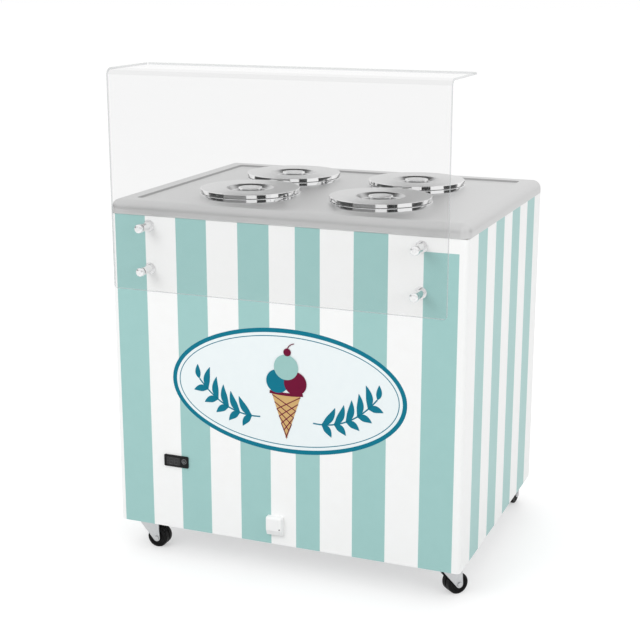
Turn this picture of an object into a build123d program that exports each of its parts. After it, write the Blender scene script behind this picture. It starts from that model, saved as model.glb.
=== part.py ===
from build123d import *
import os
from math import cos, radians, sin, sqrt

os.makedirs("parts", exist_ok=True)

# Gelato cabinet: four lidded wells in an insulated body on casters, with a bent clear guard.
# X runs along the front towards the customer's right, Y from the customer's side to the
# operator's side, Z up from the floor. Sizes are millimetres.

# Cabinet body
BODY_W = 840.0
BODY_D = 650.0
PANEL_LOW = 75.0
PANEL_H = 742.0
SHEET = 2.0
FLANGE = 12.0
FLANGE_SETBACK = 16.0
POST_R = 10.0
POST_TAB = 12.0
POST_OVERLAP = 4.0
TRAY_INSET = 5.0
TRAY_H = 32.0
AIR_SLOT = (120.0, 9.0)
AIR_SLOT_PITCH = (150.0, 22.0)
AIR_SLOTS = (2, 5)
AIR_SLOT_SHIFT = 60.0

# Worktop
OVERHANG = 2.0
TOP_H = 32.0
TOP_CORNER_R = 21.0
TOP_EDGE_R = 20.0
TOP_UNDER_R = 3.0
TOP_WALL = 6.0
BORDER = 46.0
DECK_DROP = 4.0
CREASE = 5.0
CREASE_CORNER_R = 8.0
LIP = 36.0

# Wells, tubs and lids
WELL_PITCH_X = 320.0
WELL_PITCH_Y = 258.0
TUB_R = 100.0
TUB_H = 250.0
TUB_WALL = 1.5
TUB_BEAD_R = 3.0
WELL_R = 105.0
WELL_WALL = 1.5
WELL_FOOT_R = 14.0
COLLAR_R = 116.0
COLLAR_H = 8.0
COLLAR_DRAFT = 1.1
TUB_FOOT_R = 15.0
TUB_SINK = 12.0
LID_GAP = 1.2
LID_BAND = 8.5
LID_DRAFT = 1.2
LID_SHEET = 2.0
DISH_R = 55.0
DISH_FLOOR_R = 46.0
DISH_DEPTH = 10.0
SPIGOT_R = 103.5
SPIGOT_REACH = 7.0
KNOB_TOP_R = 28.0
KNOB_FLAT_R = 20.0
KNOB_FOOT_R = 22.0
KNOB_PROUD = 1.0

# Guard
GUARD_W = 780.0
GUARD_T = 5.0
GUARD_GAP = 38.0
GUARD_LOW = 655.0
GUARD_HIGH = 1145.0
GUARD_SHELF = 185.0
GUARD_BEND_R = 14.0
GUARD_CORNER_R = 8.0
STANDOFF_X = 320.0
STANDOFF_Z = (698.0, 796.0)
STANDOFF_R = 9.0
CAP_R = 10.0
CAP_T = 9.0
STUD_R = 4.0
STUD_GAP = 0.3

# Thermostat
STAT_X = -267.0
STAT_Z = 242.5
STAT_W = 62.0
STAT_H = 28.0
STAT_CORNER_R = 2.5
STAT_BEZEL = 4.0
STAT_BEVEL = 0.8
STAT_DEPTH = 48.0
CUTOUT_W = 58.0
CUTOUT_H = 25.0
CUTOUT_GAP = 0.3
WINDOW_W = 36.0
WINDOW_H = 20.0
WINDOW_T = 1.6
WINDOW_SUNK = 0.2
WINDOW_SHIFT = -7.0
KEY_R = 4.5
KEY_SHIFT = 21.0
KEY_RISE = 2.0
KEY_PROUD = 1.0
KEY_T = 2.0
KEY_TRAVEL = 0.8
KEY_GAP = 0.3

# Drain
DRAIN_X = -16.5
HOOD_W = 39.0
HOOD_LOW = 101.0
HOOD_H = 44.0
HOOD_D = 14.0
HOOD_MOUTH_D = 9.0
HOOD_TAPER_H = 12.0
HOOD_WALL = 2.5
DRAIN_R = 9.0
DRAIN_WALL = 1.5
DRAIN_Z = 126.0
DRAIN_BEND_R = 40.0
DRAIN_FALL = 90.0
DRAIN_REACH = 4.0

# Casters
SWIVEL_INSET = 48.0
TRAIL = 28.0
WHEEL_R = 25.0
WHEEL_W = 34.0
GROOVE_W = 3.0
GROOVE_DEPTH = 4.0
WHEEL_GAP = 1.0
FORK_SHEET = 2.5
FORK_BEND_R = 5.0
FORK_REAR = 34.0
EYE_R = 8.5
CROWN_R = 24.0
CROWN_HIGH = 65.7
CROWN_LOW = CROWN_HIGH - FORK_SHEET
RACE_R = 20.0
RACE_LOW = 66.0
PLATE = 64.0
PLATE_T = 7.0
PLATE_CORNER_R = 8.0
PIN_R = 5.0
PIN_HEAD_R = 8.0
PIN_HEAD_T = 3.0
AXLE_R = 3.0
RUN_FIT = 0.05
CASTER_TURN = {"front_left": 2.0, "front_right": 48.0, "rear_left": 24.0, "rear_right": 84.0}

# Cold bath and machine space
FOAM_LOW = 530.0
FOAM_INSET = 6.0
FOAM_TOP_GAP = 3.0
BATH_MARGIN = 28.0
BATH_FLOOR_GAP = 12.0
COIL_R = 5.0
COIL_CLEAR = 13.5
COIL_TURNS = 4
COIL_RISE = 44.0
COIL_BEND_R = 55.0
COIL_END_R = 25.0
COIL_START = 40.0
PIPE_R = 4.0
PIPE_BEND_R = 20.0
STUB = 8.0
COND_X = -110.0
COND_W = 280.0
COND_H = 230.0
COND_T = 60.0
COND_GAP = 12.0
COND_PLATE = 3.0
COND_FINS = 18
FIN_T = 1.0
HAIRPINS = 4
HAIRPIN_PITCH = 48.0
HAIRPIN_REACH = 16.0
FAN_R = 96.0
FAN_BLADES = 5
FAN_W = 22.0
FAN_GAP = 5.0
RING_DEPTH = 28.0
HUB_R = 22.0
SHAFT_R = 4.0
MOTOR_R = 38.0
MOTOR_L = 52.0
MOTOR_ARM_R = 3.0
PUMP_X = 235.0
PUMP_Y = 33.0
PUMP_R = 80.0
PUMP_H = 185.0
PUMP_SEAM_H = 95.0
PUMP_FEET_H = 14.0
PUMP_FEET = (150.0, 124.0)
PUMP_FOOT_R = 17.0
DRIER_R = 11.0
DRIER_L = 110.0
LOUVRE_W = 110.0
LOUVRE_RISE = 14.0
LOUVRE_OUT = 6.0
LOUVRE_END_R = 10.0
LOUVRE_PITCH = 24.0
LOUVRE_START = 40.0
LOUVRE_ROWS = 9
BUSH_X = 300.0
BUSH_Z = 150.0
BUSH_R = 9.0
BUSH_BORE_R = 4.0
BUSH_FIT = 0.2
BUSH_PROUD = 7.0

# Worked-out levels and places
PANEL_TOP = PANEL_LOW + PANEL_H
TOP_Z = PANEL_TOP + TOP_H
DECK_Z = TOP_Z - DECK_DROP
COLLAR_Z = DECK_Z + COLLAR_H
LID_LOW = COLLAR_Z + LID_GAP
LID_TOP = LID_LOW + LID_BAND
TUB_TOP = COLLAR_Z - TUB_SINK
TUB_LOW = TUB_TOP - TUB_H
BATH_FLOOR = TUB_LOW - WELL_WALL - BATH_FLOOR_GAP
TRAY_FLOOR = PANEL_LOW + 2 * SHEET
FRONT_REACH = GUARD_GAP + GUARD_T + CAP_T
FRONT = FRONT_REACH - (BODY_D + BUSH_PROUD + FRONT_REACH) / 2
BACK = FRONT + BODY_D
MID_Y = (FRONT + BACK) / 2
HALF_W = BODY_W / 2
GUARD_Y = FRONT - GUARD_GAP
COND_BACK = BACK - COND_GAP
COND_FRONT = COND_BACK - COND_T
COND_LOW = TRAY_FLOOR
COND_EDGE = COND_X + COND_W / 2
HOT_Y = COND_FRONT + 15
HOT_Z = COND_LOW + COND_H - 30
LIQUID_Y = COND_FRONT + 45
LIQUID_Z = COND_LOW + 30
FAN_Z = COND_LOW + COND_H / 2
FAN_MID = COND_FRONT - 15
RING_R = FAN_R + FAN_GAP
RING_FRONT = COND_FRONT - RING_DEPTH
MOTOR_BACK = RING_FRONT - 12
MOTOR_FRONT = MOTOR_BACK - MOTOR_L
PUMP_LOW = TRAY_FLOOR + PUMP_FEET_H
PUMP_SEAM = PUMP_LOW + PUMP_SEAM_H
PUMP_TOP = PUMP_LOW + PUMP_H
HOT_STUB = (PUMP_X - 35, PUMP_Y + 22)
COLD_STUB = (PUMP_X - 35, PUMP_Y - 26)

SIDES = {"left": -1, "right": 1}
ROWS = {"front": -1, "rear": 1}
CORNERS = {f"{row}_{side}": (SIDES[side], ROWS[row]) for row in ROWS for side in SIDES}
ON_BASE = (Align.CENTER, Align.CENTER, Align.MIN)


def block(x0, x1, y0, y1, z0, z1):
    """Box between two opposite corners."""
    return Pos((x0 + x1) / 2, (y0 + y1) / 2, z0) * Box(x1 - x0, y1 - y0, z1 - z0, align=ON_BASE)


def upright(x, y, r, z0, z1):
    """Cylinder standing between two heights."""
    return Pos(x, y, z0) * Cylinder(r, z1 - z0, align=ON_BASE)


def along_y(x, z, r, y0, y1):
    """Cylinder lying along Y between two depths."""
    return Pos(x, y0, z) * Rot(-90, 0, 0) * Cylinder(r, y1 - y0, align=ON_BASE)


def turned(outline):
    """Solid of revolution about Z from (radius, height, corner rounding) points."""
    points = [(r, z) for r, z, _ in outline]
    rounds = [rounding for _, _, rounding in outline]
    path = FilletPolyline(*points, radius=rounds, close=True)
    return revolve(Plane.XZ * make_face(path), Axis.Z)


def rounded_slab(width, depth, corner, z0, z1):
    """Slab with rounded vertical edges, centred on the body."""
    return Pos(0, MID_Y, z0) * extrude(RectangleRounded(width, depth, corner), z1 - z0)


def tube(points, bends, radius):
    """Round bar along straight runs joined by tangent arcs."""
    path = FilletPolyline(*points, radius=bends)
    start = Plane(origin=path @ 0, z_dir=path % 0)
    return sweep(start * Circle(radius), path=path)


# Body shell
def pan(width):
    """Folded panel in the XZ plane: outer face at y = 0, flanges along the top and bottom."""
    half = width / 2
    fold = half - FLANGE_SETBACK
    sheet = block(-half, half, 0, SHEET, 0, PANEL_H)
    low = block(-fold, fold, SHEET, SHEET + FLANGE, 0, SHEET)
    high = block(-fold, fold, SHEET, SHEET + FLANGE, PANEL_H - SHEET, PANEL_H)
    return sheet + low + high


def front_panel():
    panel = Pos(0, FRONT, PANEL_LOW) * pan(BODY_W - 2 * POST_R)
    cutout = block(STAT_X - CUTOUT_W / 2, STAT_X + CUTOUT_W / 2, FRONT - SHEET, FRONT + 2 * SHEET,
                   STAT_Z - CUTOUT_H / 2, STAT_Z + CUTOUT_H / 2)
    outlet = along_y(DRAIN_X, DRAIN_Z, DRAIN_R + 1, FRONT - SHEET, FRONT + 2 * SHEET)
    return panel - cutout - outlet


def louvre():
    """Pressed louvre on a panel's outer face (y < 0): a bulged hood, open along its lower edge."""
    crown = ThreePointArc((-LOUVRE_OUT, 0), (-0.72 * LOUVRE_OUT, LOUVRE_RISE / 2), (0, LOUVRE_RISE))
    section = make_face(Polyline((0, LOUVRE_RISE), (0, 0), (-LOUVRE_OUT, 0)) + crown)
    hood = extrude(Plane.YZ * section, LOUVRE_W / 2, both=True)
    face = RectangleRounded(LOUVRE_W, 2 * LOUVRE_RISE, LOUVRE_END_R)
    outer = hood & extrude(Plane.XZ * face, 2 * LOUVRE_OUT, both=True)
    inside = Pos(0, SHEET, -SHEET) * outer
    trim = block(-LOUVRE_W / 2 + SHEET, LOUVRE_W / 2 - SHEET, -LOUVRE_OUT, 2 * SHEET,
                 -LOUVRE_RISE, LOUVRE_RISE)
    return outer, inside & trim


def rear_panel():
    """Rear panel with two columns of pressed louvres in front of the condenser and the pump."""
    panel = pan(BODY_W - 2 * POST_R)
    outer, inside = louvre()
    for column in (-LOUVRE_W, LOUVRE_W):
        for row in range(LOUVRE_ROWS):
            place = Pos(column, 0, LOUVRE_START + row * LOUVRE_PITCH)
            panel = panel + place * outer
            panel = panel - place * inside
    placed = Pos(0, BACK, PANEL_LOW) * Rot(0, 0, 180) * panel
    return placed - along_y(BUSH_X, BUSH_Z, BUSH_R, BACK - 2 * SHEET, BACK + SHEET)


def side_panel(side):
    turn = 90 * side
    return Pos(side * HALF_W, MID_Y, PANEL_LOW) * Rot(0, 0, turn) * pan(BODY_D - 2 * POST_R)


def corner_posts():
    """Four extruded quarter-round posts with tabs behind the panels' edges."""
    ring = Pos(-POST_R, POST_R) * (Circle(POST_R) - Circle(POST_R - SHEET))
    quarter = Pos(-POST_R / 2, POST_R / 2) * Rectangle(POST_R, POST_R)
    tab = Rectangle(POST_TAB + POST_OVERLAP, SHEET)
    reach = POST_R + (POST_TAB - POST_OVERLAP) / 2
    level = 1.5 * SHEET
    section = (ring & quarter) + Pos(-reach, level) * tab + Pos(-level, reach) * Rot(0, 0, 90) * tab
    post = extrude(section, PANEL_H)
    turns = {(1, -1): 0, (1, 1): 90, (-1, 1): 180, (-1, -1): 270}
    posts = []
    for (side, row), turn in turns.items():
        y = FRONT if row < 0 else BACK
        posts.append(Pos(side * HALF_W, y, PANEL_LOW) * Rot(0, 0, turn) * post)
    return Compound(posts)


def base_tray():
    """Folded tray on the panels' lower flanges, with air slots under the fan."""
    low = PANEL_LOW + SHEET
    x1 = HALF_W - TRAY_INSET
    y0 = FRONT + TRAY_INSET
    y1 = BACK - TRAY_INSET
    shell = block(-x1, x1, y0, y1, low, low + TRAY_H)
    hollow = block(-x1 + SHEET, x1 - SHEET, y0 + SHEET, y1 - SHEET, TRAY_FLOOR, low + 2 * TRAY_H)
    tray = shell - hollow
    slot = extrude(SlotOverall(*AIR_SLOT), 3 * SHEET)
    for place in GridLocations(*AIR_SLOT_PITCH, *AIR_SLOTS):
        tray = tray - Pos(COND_X, MID_Y + AIR_SLOT_SHIFT, low - SHEET) * place * slot
    return tray


# Worktop and wells
def well_places():
    """Centre of each well by corner name."""
    return {name: (side * WELL_PITCH_X / 2, MID_Y + row * WELL_PITCH_Y / 2)
            for name, (side, row) in CORNERS.items()}


def worktop():
    """Pressed top: rolled edge, raised border, creased deck, four well holes, hollow below."""
    width = BODY_W + 2 * OVERHANG
    depth = BODY_D + 2 * OVERHANG
    top = rounded_slab(width, depth, TOP_CORNER_R, PANEL_TOP, TOP_Z)
    top = fillet(top.edges().group_by(Axis.Z)[-1], TOP_EDGE_R)
    top = fillet(top.edges().group_by(Axis.Z)[0], TOP_UNDER_R)
    inner_w = width - 2 * BORDER
    inner_d = depth - 2 * BORDER
    rim = Pos(0, MID_Y, TOP_Z) * RectangleRounded(inner_w, inner_d, CREASE_CORNER_R)
    floor = Pos(0, MID_Y, DECK_Z) * RectangleRounded(inner_w - 2 * CREASE, inner_d - 2 * CREASE,
                                                    CREASE_CORNER_R - CREASE)
    top = top - loft([rim, floor])
    hollow = rounded_slab(width - 2 * TOP_WALL, depth - 2 * TOP_WALL, TOP_CORNER_R - TOP_WALL,
                          PANEL_TOP + SHEET, TOP_Z - TOP_WALL)
    top = top - fillet(hollow.edges().group_by(Axis.Z)[-1], TOP_EDGE_R - TOP_WALL)
    top = top - rounded_slab(width - 2 * LIP, depth - 2 * LIP, TOP_CORNER_R - TOP_WALL, PANEL_TOP - SHEET,
                             PANEL_TOP + 2 * SHEET)
    for x, y in well_places().values():
        top = top - upright(x, y, WELL_R + WELL_WALL + STUD_GAP, DECK_Z - 2 * SHEET, TOP_Z)
    return top


def well():
    """Deep-drawn well with a polished, slightly tapered collar that sits on the deck."""
    low = TUB_LOW - WELL_WALL
    out = WELL_R + WELL_WALL
    return turned([(0, low, 0), (out, low, WELL_FOOT_R), (out, DECK_Z, 0),
                   (COLLAR_R + COLLAR_DRAFT, DECK_Z, 0.6), (COLLAR_R, COLLAR_Z, 1.5),
                   (WELL_R, COLLAR_Z, 2), (WELL_R, TUB_LOW, WELL_FOOT_R - WELL_WALL), (0, TUB_LOW, 0)])


def tub():
    """Straight gelato tub with a rounded foot and a rolled bead at the rim."""
    inner = TUB_R - TUB_WALL
    cup = turned([(0, TUB_LOW, 0), (TUB_R, TUB_LOW, TUB_FOOT_R), (TUB_R, TUB_TOP - TUB_BEAD_R, 0),
                  (inner, TUB_TOP - TUB_BEAD_R, 0), (inner, TUB_LOW + TUB_WALL, TUB_FOOT_R - TUB_WALL),
                  (0, TUB_LOW + TUB_WALL, 0)])
    ring = Pos(TUB_R, TUB_TOP - TUB_BEAD_R) * Circle(TUB_BEAD_R)
    return cup + revolve(Plane.XZ * ring, Axis.Z)


def lid():
    """Pressed lid: tapered band, dished middle and a spigot ring that centres it in the collar."""
    shoulder = COLLAR_R - LID_DRAFT
    under = LID_TOP - LID_SHEET
    spigot_low = COLLAR_Z - SPIGOT_REACH
    inner = SPIGOT_R - LID_SHEET
    dish = LID_TOP - DISH_DEPTH
    return turned([(0, dish, 0), (DISH_FLOOR_R, dish, 4), (DISH_R, LID_TOP, 3),
                   (shoulder, LID_TOP, 1), (COLLAR_R, LID_LOW, 0.3), (COLLAR_R - LID_SHEET, LID_LOW, 0),
                   (shoulder - LID_SHEET, under, 0), (SPIGOT_R, under, 0), (SPIGOT_R, spigot_low, 0.5),
                   (inner, spigot_low, 0.5), (inner, under, 0), (DISH_R + 1, under, 0),
                   (DISH_FLOOR_R + 1, dish - LID_SHEET, 0), (0, dish - LID_SHEET, 0)])


def lid_seal():
    """Rubber ring between the lid's underside and the collar."""
    inner = SPIGOT_R + STUD_GAP
    outer = COLLAR_R - LID_SHEET - LID_DRAFT - STUD_GAP
    return turned([(inner, COLLAR_Z, 0), (outer, COLLAR_Z, 0), (outer, LID_TOP - LID_SHEET, 0),
                   (inner, LID_TOP - LID_SHEET, 0)])


def lid_knob():
    """Waisted knob that stands in the lid's dish."""
    foot = LID_TOP - DISH_DEPTH
    head = LID_TOP + KNOB_PROUD
    return turned([(0, foot, 0), (KNOB_FOOT_R, foot, 0), (KNOB_FOOT_R + 1, foot + 4, 4),
                   (KNOB_TOP_R, head - 2.5, 1), (KNOB_TOP_R - 1, head - 0.5, 1),
                   (KNOB_FLAT_R, head, 0), (0, head, 0)])


# Guard
def guard_sheet():
    """Clear sheet bent over at the top into a shelf towards the operator."""
    y1 = GUARD_Y
    y0 = y1 - GUARD_T
    outline = FilletPolyline((y0, GUARD_LOW), (y0, GUARD_HIGH), (y0 + GUARD_SHELF, GUARD_HIGH),
                             (y0 + GUARD_SHELF, GUARD_HIGH - GUARD_T), (y1, GUARD_HIGH - GUARD_T),
                             (y1, GUARD_LOW),
                             radius=[0, GUARD_BEND_R, 0, 0, GUARD_BEND_R - GUARD_T, 0], close=True)
    sheet = extrude(Plane.YZ * make_face(outline), GUARD_W / 2, both=True)
    foot = sheet.edges().filter_by(Axis.Y).group_by(Axis.Z)[0]
    tail = sheet.edges().filter_by(Axis.Z).group_by(Axis.Y)[-1]
    sheet = fillet(foot + tail, GUARD_CORNER_R)
    for x, z in standoff_places():
        sheet = sheet - along_y(x, z, STUD_R + STUD_GAP, y0 - GUARD_T, y1 + GUARD_T)
    return sheet


def standoff_places():
    return [(x, z) for x in (-STANDOFF_X, STANDOFF_X) for z in STANDOFF_Z]


def facing_customer(solid, x, y, z):
    """Put a solid turned about +Z so that its axis points to -Y from the given point."""
    return Pos(x, y, z) * Rot(90, 0, 0) * solid


def guard_standoffs():
    barrel = turned([(0, 0, 0), (STANDOFF_R, 0, 0.8), (STANDOFF_R, GUARD_GAP, 0.8), (0, GUARD_GAP, 0)])
    return Compound([facing_customer(barrel, x, FRONT, z) for x, z in standoff_places()])


def guard_caps():
    """Domed screw caps with a stud that passes through the sheet."""
    cap = turned([(0, 0, 0), (STUD_R, 0, 0), (STUD_R, GUARD_T, 0), (CAP_R, GUARD_T, 0.8),
                  (CAP_R, GUARD_T + CAP_T - 2, 3), (CAP_R - 4.5, GUARD_T + CAP_T, 2),
                  (CAP_R - 6, GUARD_T + CAP_T, 0), (CAP_R - 6.6, GUARD_T + CAP_T - 0.8, 0),
                  (0, GUARD_T + CAP_T - 0.8, 0)])
    return Compound([facing_customer(cap, x, GUARD_Y, z) for x, z in standoff_places()])


# Thermostat
def stat_slab(width, height, corner, y0, y1):
    """Rounded plate on the thermostat's centre, from depth y0 to y1 ahead of the panel."""
    plate = extrude(RectangleRounded(width, height, corner), y1 - y0)
    return facing_customer(Pos(0, 0, y0) * plate, STAT_X, FRONT, STAT_Z)


def stat_case():
    """Bezel on the panel's face and a housing that passes through the cut-out."""
    bezel = stat_slab(STAT_W, STAT_H, STAT_CORNER_R, 0, STAT_BEZEL)
    bezel = chamfer(bezel.faces().sort_by(Axis.Y)[0].outer_wire().edges(), STAT_BEVEL)
    housing = stat_slab(CUTOUT_W - 2 * CUTOUT_GAP, CUTOUT_H - 2 * CUTOUT_GAP, 1, -STAT_DEPTH, 0)
    recess = stat_slab(WINDOW_W, WINDOW_H, 1.5, STAT_BEZEL - WINDOW_T, 2 * STAT_BEZEL)
    bore = along_y(STAT_X + KEY_SHIFT, STAT_Z + KEY_RISE, KEY_R + KEY_GAP, FRONT - 2 * STAT_BEZEL,
                   FRONT - STAT_BEZEL + KEY_T + KEY_TRAVEL)
    return bezel + housing - Pos(WINDOW_SHIFT, 0, 0) * recess - bore


def stat_window():
    """Smoked window in the bezel's recess."""
    pane = stat_slab(WINDOW_W - 2 * WINDOW_SUNK, WINDOW_H - 2 * WINDOW_SUNK, 1.3,
                     STAT_BEZEL - WINDOW_T, STAT_BEZEL - WINDOW_SUNK)
    return Pos(WINDOW_SHIFT, 0, 0) * pane


def stat_key():
    """Round key that stands a little proud of the bezel."""
    y = FRONT - STAT_BEZEL + KEY_T
    cap = turned([(0, 0, 0), (KEY_R, 0, 0), (KEY_R, KEY_T + KEY_PROUD, 0.6), (0, KEY_T + KEY_PROUD, 0)])
    return facing_customer(cap, STAT_X + KEY_SHIFT, y, STAT_Z + KEY_RISE)


# Drain
def drain_hood():
    """Moulded hood over the drain outlet, open below, with a tapered lower front."""
    profile = FilletPolyline((0, 0), (-HOOD_MOUTH_D, 0), (-HOOD_D, HOOD_TAPER_H), (-HOOD_D, HOOD_H),
                             (0, HOOD_H), radius=[0, 0, 3, 6, 0], close=True)
    solid = extrude(Plane.YZ * make_face(profile), HOOD_W / 2, both=True)
    solid = fillet(solid.edges().filter_by(Axis.Z).group_by(Axis.Y)[0], 3)
    inner = block(-HOOD_W / 2 + HOOD_WALL, HOOD_W / 2 - HOOD_WALL, -HOOD_MOUTH_D + HOOD_WALL, SHEET,
                  -SHEET, HOOD_H - HOOD_WALL)
    return Pos(DRAIN_X, FRONT, HOOD_LOW) * (solid - inner)


def drain_pipe():
    """Elbow from the underside of the insulation to the outlet behind the hood."""
    y_fall = FRONT + DRAIN_FALL
    points = [(DRAIN_X, y_fall, FOAM_LOW), (DRAIN_X, y_fall, DRAIN_Z),
              (DRAIN_X, FRONT - DRAIN_REACH, DRAIN_Z)]
    return tube(points, [DRAIN_BEND_R], DRAIN_R) - tube(points, [DRAIN_BEND_R], DRAIN_R - DRAIN_WALL)


# Casters: built with the swivel axis at the origin and the wheel trailing along +X
def caster_place(name):
    side, row = CORNERS[name]
    y = FRONT + SWIVEL_INSET if row < 0 else BACK - SWIVEL_INSET
    return Pos(side * (HALF_W - SWIVEL_INSET), y, 0) * Rot(0, 0, CASTER_TURN[name])


def caster_plates():
    """Top plate, ball race and king pin of each caster, fixed under the tray."""
    top = PANEL_LOW + SHEET
    plate = Pos(0, 0, top - PLATE_T) * extrude(RectangleRounded(PLATE, PLATE, PLATE_CORNER_R), PLATE_T)
    race = upright(0, 0, RACE_R, RACE_LOW, top - PLATE_T)
    pin = upright(0, 0, PIN_R, CROWN_LOW - 1, RACE_LOW)
    head = upright(0, 0, PIN_HEAD_R, CROWN_LOW - 1 - PIN_HEAD_T, CROWN_LOW - 0.3)
    one = plate + race + pin + head
    plates = []
    for side, row in CORNERS.values():
        y = FRONT + SWIVEL_INSET if row < 0 else BACK - SWIVEL_INSET
        plates.append(Pos(side * (HALF_W - SWIVEL_INSET), y, 0) * one)
    return Compound(plates)


def fork_strip(inner, outer):
    """Sheet bent over the wheel: two arms and a crown with rounded shoulders, long in X."""
    low = WHEEL_R - EYE_R
    bend = FORK_BEND_R
    outside = FilletPolyline((-outer, low), (-outer, CROWN_HIGH), (outer, CROWN_HIGH), (outer, low),
                             radius=[0, bend, bend, 0], close=True)
    bend = FORK_BEND_R - FORK_SHEET
    inside = FilletPolyline((-inner, 0), (-inner, CROWN_LOW), (inner, CROWN_LOW), (inner, 0),
                            radius=[0, bend, bend, 0], close=True)
    return extrude(Plane.YZ * (make_face(outside) - make_face(inside)), 2 * CROWN_R, both=True)


def caster_fork():
    """Pressed fork: round crown under the race and two arms that rake back to the axle eyes."""
    inner = WHEEL_W / 2 + WHEEL_GAP
    outer = inner + FORK_SHEET
    grip = sqrt(CROWN_R ** 2 - outer ** 2)
    shoulder = CROWN_HIGH - FORK_BEND_R
    eye = Pos(TRAIL, WHEEL_R) * Circle(EYE_R)
    head = Polyline((-grip, CROWN_HIGH), (FORK_REAR, CROWN_HIGH), (FORK_REAR, shoulder), (-grip, shoulder),
                    close=True)
    crown = Pos(0, (CROWN_LOW + CROWN_HIGH) / 2) * Rectangle(2 * CROWN_R, FORK_SHEET)
    side = extrude(Plane.XZ * (make_hull(head.edges() + eye.edges()) + crown), 2 * outer, both=True)
    tail = Pos(TRAIL, 0) * Rectangle(2 * EYE_R, 2 * outer)
    plan = make_hull(Circle(CROWN_R).edges() + tail.edges())
    fork = fork_strip(inner, outer) & side & extrude(plan, CROWN_HIGH)
    fork = fork - upright(0, 0, PIN_R + RUN_FIT, CROWN_LOW - 1, CROWN_HIGH + 1)
    return fork - along_y(TRAIL, WHEEL_R, AXLE_R + RUN_FIT, -2 * outer, 2 * outer)


def caster_wheel():
    """Twin-tread wheel: rounded shoulders, centre groove, sunk sides and a hub boss."""
    half = WHEEL_W / 2
    groove = WHEEL_R - GROOVE_DEPTH
    bore = AXLE_R + RUN_FIT
    outline = [(bore, -half, 0), (8, -half, 0.5), (9, -half + 2.5, 0), (17, -half + 2.5, 0),
               (18.5, -half + 0.5, 0.5), (WHEEL_R, -half + 0.5, 4), (WHEEL_R, -GROOVE_W / 2, 1.2),
               (groove, -GROOVE_W / 2, 0)]
    mirrored = [(r, -y, rounding) for r, y, rounding in reversed(outline)]
    wheel = turned(outline + mirrored)
    return Pos(TRAIL, 0, WHEEL_R) * Rot(-90, 0, 0) * wheel


def caster_axle():
    """Axle bolt with a round head on one side and a hexagon nut on the other."""
    outer = WHEEL_W / 2 + WHEEL_GAP + FORK_SHEET
    shank = along_y(TRAIL, WHEEL_R, AXLE_R, -outer - 1, outer + 3.5)
    head = turned([(0, 0, 0), (6, 0, 0), (6, 3, 1.8), (0, 3, 0)])
    nut = extrude(RegularPolygon(5.6, 6), 3)
    bolt = shank + Pos(TRAIL, -outer, WHEEL_R) * Rot(90, 0, 0) * head
    return bolt + Pos(TRAIL, outer, WHEEL_R) * Rot(-90, 0, 0) * nut


# Cold bath
def bath_box():
    """Half width, front, back of the bath tank's inside."""
    reach = WELL_R + WELL_WALL + BATH_MARGIN
    return (WELL_PITCH_X / 2 + reach, MID_Y - WELL_PITCH_Y / 2 - reach, MID_Y + WELL_PITCH_Y / 2 + reach)


def bath_tank():
    half, y0, y1 = bath_box()
    outer = block(-half - SHEET, half + SHEET, y0 - SHEET, y1 + SHEET, BATH_FLOOR - SHEET,
                  DECK_Z - 2 * SHEET)
    return outer - block(-half, half, y0, y1, BATH_FLOOR, TOP_Z)


def foam_body():
    """Insulation that fills the body round the bath tank, up to the underside of the deck."""
    half, y0, y1 = bath_box()
    body = block(-HALF_W + FOAM_INSET, HALF_W - FOAM_INSET, FRONT + FOAM_INSET, BACK - FOAM_INSET,
                 FOAM_LOW, PANEL_TOP - FOAM_TOP_GAP)
    inset = LIP + FOAM_INSET
    cap = block(-HALF_W + inset, HALF_W - inset, FRONT + inset, BACK - inset,
                PANEL_TOP - 2 * FOAM_TOP_GAP, DECK_Z - 2 * SHEET)
    pocket = block(-half - SHEET, half + SHEET, y0 - SHEET, y1 + SHEET, BATH_FLOOR - SHEET, TOP_Z)
    return body + cap - pocket


def coil_route():
    """Corners of the evaporator tube: up from the floor, round the wells, down the middle."""
    half, y0, y1 = bath_box()
    reach = BATH_MARGIN - COIL_CLEAR
    x = half - reach
    front = y0 + reach
    back = y1 - reach
    z = BATH_FLOOR + COIL_START
    points = [(-WELL_PITCH_X / 4, front, BATH_FLOOR), (-WELL_PITCH_X / 4, front, z)]
    for turn in range(COIL_TURNS):
        points += [(x, front, z), (x, back, z), (-x, back, z + COIL_RISE), (-x, front, z + COIL_RISE)]
        z += COIL_RISE
    return points + [(0, front, z), (0, MID_Y, z), (0, MID_Y, BATH_FLOOR)]


def evaporator_coil():
    points = coil_route()
    bends = [COIL_END_R] + [COIL_BEND_R] * (4 * COIL_TURNS) + [COIL_END_R, COIL_END_R]
    print("coil turns", COIL_TURNS, "least gap between turns", round(COIL_RISE - 2 * COIL_R, 1))
    return tube(points, bends, COIL_R)


# Machine space

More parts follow.
